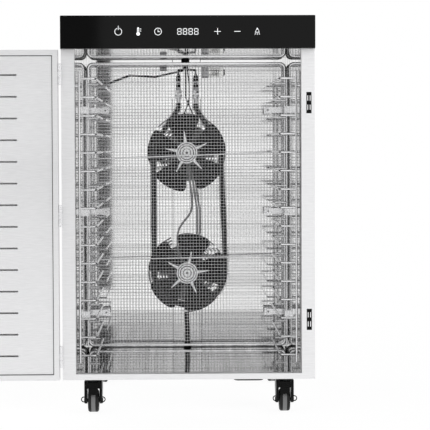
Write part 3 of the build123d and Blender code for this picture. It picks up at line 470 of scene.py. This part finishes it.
def dress_nodes(materials):
    """Give every CAD node the material of its record slot, or its satin finish whose paler tone is painted
    light.
    """
    for entry in frame["record"]["subparts"]:
        shown = frame["nodes"][entry["node"]]
        finish = "satin_lit_steel" if entry["node"] in SATIN_LIT_NODES else entry["material_slot"]
        for holder in shown.material_slots:
            holder.material = materials[finish]


# ---- Mesh helpers ----------------------------------------------------------
def piece(name, verts, faces, material, body=ROOT, smooth=True):
    """A new mesh object that rides on a body."""
    mesh = bpy.data.meshes.new(name)
    mesh.from_pydata([tuple(v) for v in verts], [], faces)
    mesh.polygons.foreach_set("use_smooth", [smooth] * len(mesh.polygons))
    mesh.materials.append(material)
    mesh.update()
    made = bpy.data.objects.new(name, mesh)
    bpy.context.scene.collection.objects.link(made)
    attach(made, body)
    return made


def rings_along(points, radii, sides, normal):
    """Vertices of a ring round each point of a path that lies in a plane with this normal."""
    verts = []
    count = len(points)
    for index, point in enumerate(points):
        tangent = (points[min(index + 1, count - 1)] - points[max(index - 1, 0)]).normalized()
        across = normal.cross(tangent).normalized()
        for side in range(sides):
            angle = 2 * math.pi * side / sides
            verts.append(point + radii[index] * (math.cos(angle) * across + math.sin(angle) * normal))
    return verts


def skin(ring_count, sides):
    """Faces between successive rings of vertices, with both ends closed."""
    faces = []
    for ring in range(ring_count - 1):
        for side in range(sides):
            beside = (side + 1) % sides
            near, far = ring * sides, (ring + 1) * sides
            faces.append((near + side, near + beside, far + beside, far + side))
    faces.append(tuple(reversed(range(sides))))
    faces.append(tuple(range((ring_count - 1) * sides, ring_count * sides)))
    return faces


def lathe(centre, axis, profile, sides=24):
    """Vertices and faces of a turned shape; the profile gives (radius, distance along the axis)."""
    axis = Vector(axis).normalized()
    across = axis.orthogonal().normalized()
    other = axis.cross(across)
    verts = []
    for radius, along in profile:
        for side in range(sides):
            angle = 2 * math.pi * side / sides
            outward = math.cos(angle) * across + math.sin(angle) * other
            verts.append(Vector(centre) + axis * along + radius * outward)
    return verts, skin(len(profile), sides)


def turned(centre, axis, profile_mm, sides=24):
    """A turned shape whose profile is in millimetres."""
    return lathe(centre, axis, [(radius * MM, along * MM) for radius, along in profile_mm], sides)


def cuboid(near, far):
    """Vertices and faces of a box between two opposite corners."""
    (x0, y0, z0), (x1, y1, z1) = near, far
    verts = [(x, y, z) for z in (z0, z1) for x, y in ((x0, y0), (x1, y0), (x1, y1), (x0, y1))]
    faces = [(0, 3, 2, 1), (4, 5, 6, 7), (0, 1, 5, 4), (1, 2, 6, 5), (2, 3, 7, 6), (3, 0, 4, 7)]
    return verts, faces


def joined(shapes):
    """One set of vertices and faces out of several."""
    verts, faces = [], []
    for more_verts, more_faces in shapes:
        start = len(verts)
        verts += more_verts
        faces += [tuple(start + corner for corner in face) for face in more_faces]
    return verts, faces


def fitting(name, shapes, materials, slot, body=ROOT, smooth=False):
    """A piece made of several simple shapes in one material."""
    verts, faces = joined(shapes)
    return piece(name, verts, faces, materials[slot], body, smooth)


# ---- Heater ----------------------------------------------------------------
TUBE_RADIUS = 4.2 * MM
FIN_PITCH = 3.1 * MM
FIN_EDGE = 0.35 * MM
RUN_INSET = 7 * MM          # the right run beside the upper fan, from the one beside the lower fan
NECK_RISE = 87 * MM         # upper fan to where the runs turn up to the terminals
SHOULDER_RISE = 13 * MM     # upper fan to where the runs turn inward
LOWER_RISE = 45 * MM        # lower fan to where the right run starts to move in
NECK_BENDS = (18 * MM, 48 * MM)
RUN_BEND = 200 * MM


def rounded_path(corners, radii, step):
    """Points along straight runs joined by tangent arcs, evenly spaced."""
    path = [corners[0]]
    for index, radius in enumerate(radii):
        before, corner, after = corners[index:index + 3]
        into = (corner - before).normalized()
        out = (after - corner).normalized()
        turn = into.angle(out)
        cut = radius * math.tan(turn / 2)
        start = corner - into * cut
        side = (out - into * into.dot(out)).normalized()
        centre = start + side * radius
        steps = max(3, int(turn * radius / step))
        for part in range(steps + 1):
            angle = turn * part / steps
            path.append(centre + radius * (into * math.sin(angle) - side * math.cos(angle)))
    path.append(corners[-1])
    even = [path[0]]
    carried = 0.0
    for start, stop in zip(path, path[1:]):
        length = (stop - start).length
        travelled = step - carried
        while travelled <= length:
            even.append(start.lerp(stop, travelled / length))
            travelled += step
        carried = length - (travelled - step)
    return even


def heater_path(step):
    """Centre line of the heater, worked out from the box of its CAD solid."""
    fin_radius = (high("heater_tube", Y) - low("heater_tube", Y)) / 2
    y = middle("heater_tube", Y)
    top = high("heater_tube", Z)
    bottom = low("heater_tube", Z) + fin_radius
    left = low("heater_tube", X) + fin_radius
    right = high("heater_tube", X) - fin_radius
    narrow = right - RUN_INSET
    boot = (high("heater_terminals", Y) - low("heater_terminals", Y)) / 2
    ends = (low("heater_terminals", X) + boot, high("heater_terminals", X) - boot)
    upper = middle("upper_fan_shaft", Z)
    beside = middle("lower_fan_shaft", Z) + LOWER_RISE
    neck, shoulder = upper + NECK_RISE, upper + SHOULDER_RISE
    route = [(ends[0], top), (ends[0], neck), (left, shoulder), (left, bottom),
             (right, bottom), (right, beside), (narrow, upper - SHOULDER_RISE), (narrow, shoulder),
             (ends[1], neck), (ends[1], top)]
    low_bend = (right - left) / 2 - 3 * MM
    bends = [*NECK_BENDS, low_bend, low_bend, RUN_BEND, RUN_BEND, *reversed(NECK_BENDS)]
    return rounded_path([Vector((x, y, z)) for x, z in route], bends, step), fin_radius


def build_heater(materials):
    """Tube and its close fins as one skin that steps out at every fin."""
    step = FIN_PITCH / 4
    points, fin_radius = heater_path(step)
    fin_radius -= 0.05 * MM
    path, radii = [], []
    for index in range(0, len(points) - 4, 4):
        start = points[index]
        along = (points[index + 1] - start).normalized()
        fin_start = FIN_PITCH * 0.42
        profile = ((0, TUBE_RADIUS), (FIN_PITCH * 0.36, TUBE_RADIUS), (fin_start, fin_radius),
                   (fin_start + FIN_EDGE * 1.4, fin_radius), (FIN_PITCH * 0.64, TUBE_RADIUS))
        for offset, radius in profile:
            path.append(start + along * offset)
            radii.append(radius)
    sides = 20
    verts = rings_along(path, radii, sides, Vector((0, 1, 0)))
    made = piece("heater_fins", verts, skin(len(path), sides), materials["black_finned_steel"],
                 smooth=False)
    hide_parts("heater_tube")


STUD = [(4, 0), (4, 9), (2.2, 9.5), (2.2, 26)]
INSULATORS = ([(4.2, 24), (5, 25), (5, 28), (3.6, 29)], [(3.2, 38), (4, 38.5), (4, 41.5), (3.2, 42)])
BOOTS = ([(3.4, 29), (4.6, 29.6), (4.6, 37), (3, 38)], [(3, 42), (4.8, 42.6), (4.8, 50), (2.4, 56.5)])


def build_terminals(materials):
    """Stud, nuts, insulator and boot on each end of the heater; profiles are (radius, height) in mm."""
    boot = (high("heater_terminals", Y) - low("heater_terminals", Y)) / 2
    nut_sizes = ((9, 14, 6.6, 6), (14.2, 16.2, boot / MM, 24), (19, 24, 6.4, 6))
    up = (0, 0, 1)
    studs, nuts, insulators, boots = [], [], [], []
    for x in (low("heater_terminals", X) + boot, high("heater_terminals", X) - boot):
        place = (x, middle("heater_terminals", Y), low("heater_terminals", Z))
        studs.append(turned(place, up, STUD))
        for start, stop, radius, sides in nut_sizes:
            nuts.append(turned(place, up, [(radius, start), (radius, stop)], sides))
        insulators += [turned(place, up, profile) for profile in INSULATORS]
        boots += [turned(place, up, profile) for profile in BOOTS]
    sets = (("terminal_studs", studs, "bright_fitting"), ("terminal_nuts", nuts, "bright_fitting"),
            ("terminal_insulators", insulators, "ceramic"), ("terminal_boots", boots, "black_rubber"))
    for name, shapes, slot in sets:
        made = fitting(name, shapes, materials, slot, smooth=slot != "bright_fitting")
        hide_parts("heater_terminals")


# ---- Small fittings and painted shade pieces -------------------------------
SCREW_HEAD_RADIUS = 3.2 * MM
BRACKET_LEVELS = (0.537, 0.339, 0.141)
HINGE_LEVELS = (0.592, 0.346, 0.101)


def build_screw_recess_shades(materials):
    """Painted shade: a dark cross in the head of every bracket screw, where its cross recess is shaded."""
    face = low("chamber_screws", Y)
    reach = high("chamber_screws", X) - SCREW_HEAD_RADIUS
    shapes = []
    for level in BRACKET_LEVELS:
        for x in (-reach, reach):
            for wide, tall in ((1.9, 0.5), (0.5, 1.9)):
                shapes.append(cuboid((x - wide * MM, face - 0.05 * MM, level - tall * MM),
                                     (x + wide * MM, face + 0.6 * MM, level + tall * MM)))
    fitting("screw_recess_shades", shapes, materials, "black_plastic")


def build_hinge_screws(materials):
    """Two countersunk heads on each hinge leaf."""
    leaf_x = -half_width - 1.2 * MM
    y = middle("hinge_frame_leaves", Y) + 3 * MM
    shapes = []
    for level in HINGE_LEVELS:
        for offset in (-11 * MM, 11 * MM):
            place = (leaf_x, y, level + offset)
            shapes.append(turned(place, (-1, 0, 0), [(2.6, 0), (2.3, 0.4), (0.9, 0.5)]))
    fitting("hinge_screws", shapes, materials, "bright_fitting", smooth=True)


def build_door_recess_shade(materials):
    """Painted shade: a dark band round the recessed inner panel of the door, where the recess edge is shaded.
    """
    border, shade_band = 9.5 * MM, 1.3 * MM
    x0, x1 = low("door_skin", X) + border, high("door_skin", X) - border
    z0, z1 = low("door_skin", Z) + border, high("door_skin", Z) - border
    y1 = low("door_inner_panel", Y)
    y0 = y1 - 0.4 * MM
    bars = [((x0, z0), (x0 + shade_band, z1)), ((x1 - shade_band, z0), (x1, z1)),
            ((x0 + shade_band, z0), (x1 - shade_band, z0 + shade_band)), ((x0 + shade_band, z1 - shade_band), (x1 - shade_band, z1))]
    shapes = [cuboid((near[0], y0, near[1]), (far[0], y1, far[1])) for near, far in bars]
    fitting("door_recess_shade", shapes, materials, "black_rubber", "door")


HUB_GROOVES = ((7.4, 8.6, 0.8), (12.8, 14.4, 0.8), (17.1, 18.5, 1.4))  # radii, depth from the front, mm


def build_hub_groove_shades(materials):
    """Painted shade: dark rings in the grooves and a dark centre hole on each fan's bright hub."""
    for fan in ("upper_fan", "lower_fan"):
        x, z = middle(fan + "_shaft", X), middle(fan + "_shaft", Z)
        near = low(fan + "_spider", Y)
        tip = low(fan + "_shaft", Y)
        rings = []
        for inner, outer, depth in HUB_GROOVES:
            ring = [(inner, 0.2), (inner, -0.06), (outer, -0.06), (outer, 0.2)]
            rings.append(turned((x, near + depth * MM, z), (0, 1, 0), ring, 48))
        rings.append(turned((x, tip, z), (0, 1, 0), [(2.4, -0.05), (2.4, 0.3)], 16))
        fitting(fan + "_hub_groove_shades", rings, materials, "black_plastic", fan)


CLIP_LEVELS = (0.1385, 0.1425)


def build_cable_clip(materials):
    """Bright clip that holds the pair of lower cables to the channel."""
    bottom, top = CLIP_LEVELS
    back = rear_wall_y - 2.5 * MM
    shapes = []
    for x0, x1 in ((-5.6, -4.9), (4.9, 5.6)):
        shapes.append(cuboid((x0 * MM, back - 5.9 * MM, bottom), (x1 * MM, back, top)))
    shapes.append(cuboid((-5.6 * MM, back - 6.5 * MM, bottom), (5.6 * MM, back - 5.9 * MM, top)))
    shapes.append(cuboid((-13 * MM, back - 0.6 * MM, bottom), (-5.6 * MM, back, top)))
    fitting("cable_clip", shapes, materials, "bright_fitting")


def build_lamp_filament(materials):
    """Support wires and the zigzag filament inside the lamp."""
    x0 = low("lamp_bulb", X)
    y, z = middle("lamp_bulb", Y), middle("lamp_bulb", Z)
    shapes = []
    for side in (-1, 1):
        shapes.append(turned((x0, y, z + side * 3.2 * MM), (1, 0, 0), [(0.45, 0), (0.45, 20)], 8))
    for step in range(6):
        sign = -1 if step % 2 else 1
        start = Vector((x0 + (6 + 2.4 * step) * MM, y, z + sign * 3.2 * MM))
        stop = Vector((x0 + (8.4 + 2.4 * step) * MM, y, z - sign * 3.2 * MM))
        shapes.append(lathe(start, stop - start, [(0.35 * MM, 0), (0.35 * MM, (stop - start).length)], 8))
    fitting("lamp_filament", shapes, materials, "black_plastic")


# ---- Build -----------------------------------------------------------------
place_camera()
build_studio()
materials = build_materials()
dress_nodes(materials)
build_heater(materials)
build_terminals(materials)
build_screw_recess_shades(materials)
build_hinge_screws(materials)
build_door_recess_shade(materials)
build_hub_groove_shades(materials)
build_cable_clip(materials)
build_lamp_filament(materials)
